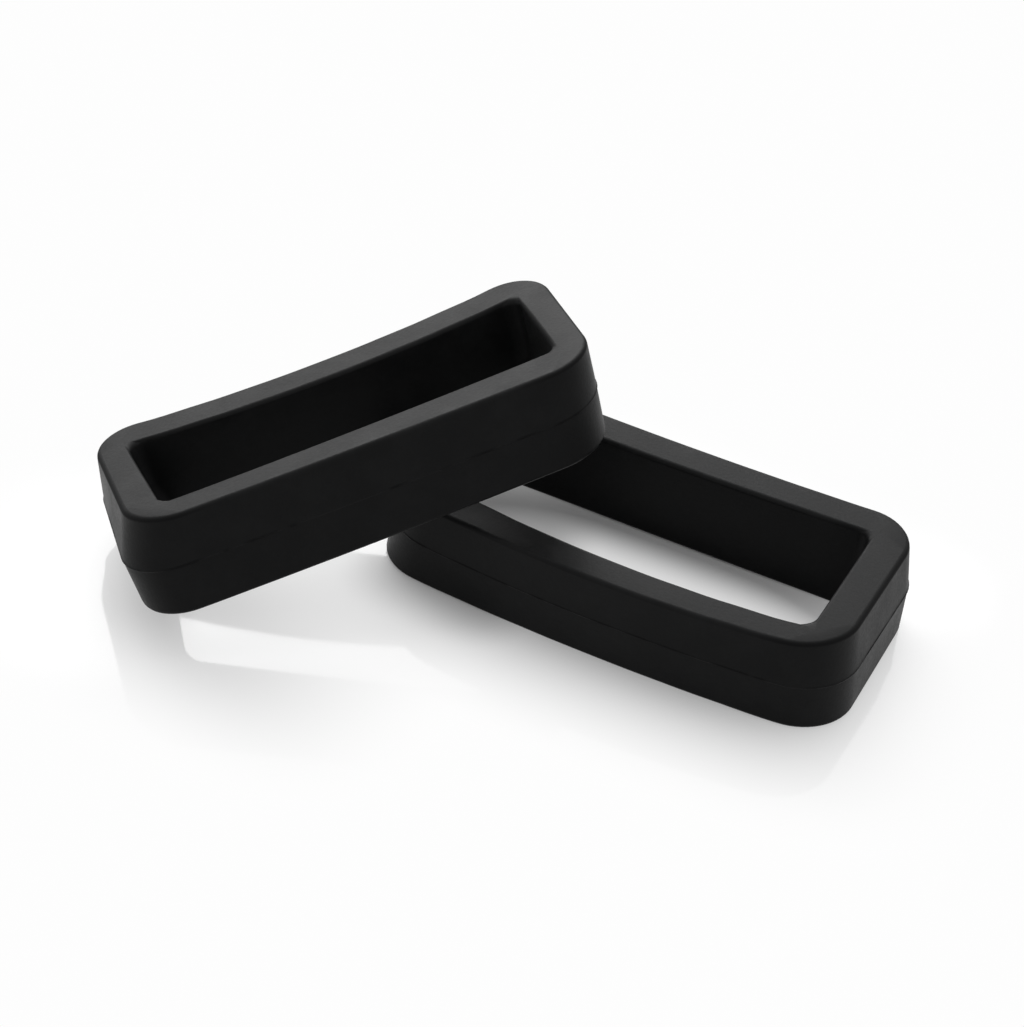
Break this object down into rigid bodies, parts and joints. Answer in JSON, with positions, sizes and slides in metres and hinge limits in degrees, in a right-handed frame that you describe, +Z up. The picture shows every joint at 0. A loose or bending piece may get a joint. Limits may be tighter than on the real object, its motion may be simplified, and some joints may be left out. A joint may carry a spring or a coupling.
{
  "type": "watch strap keeper pair",
  "caption": "Moulded rubber loops that slide on a watch strap and hold down its tail, lying flat and leaning on each other.",
  "frame": {"origin": "middle of the flat keeper's slot, on the plane the keepers stand on", "axes": "+X along the flat keeper's length, +Y across its slot, +Z up through the slot"},
  "size_m": [0.0436, 0.0261, 0.0154],
  "materials": {
    "black_rubber": "matte"
  },
  "bodies": {
    "flat": {"flat_keeper": "black_rubber"},
    "leaning": {"leaning_keeper": "black_rubber"}
  },
  "joints": [
    {"name": "lift_off", "type": "slide", "parent": "flat", "child": "leaning", "axis": [0, 0, 1], "range_m": [0, 0.03]}
  ]
}
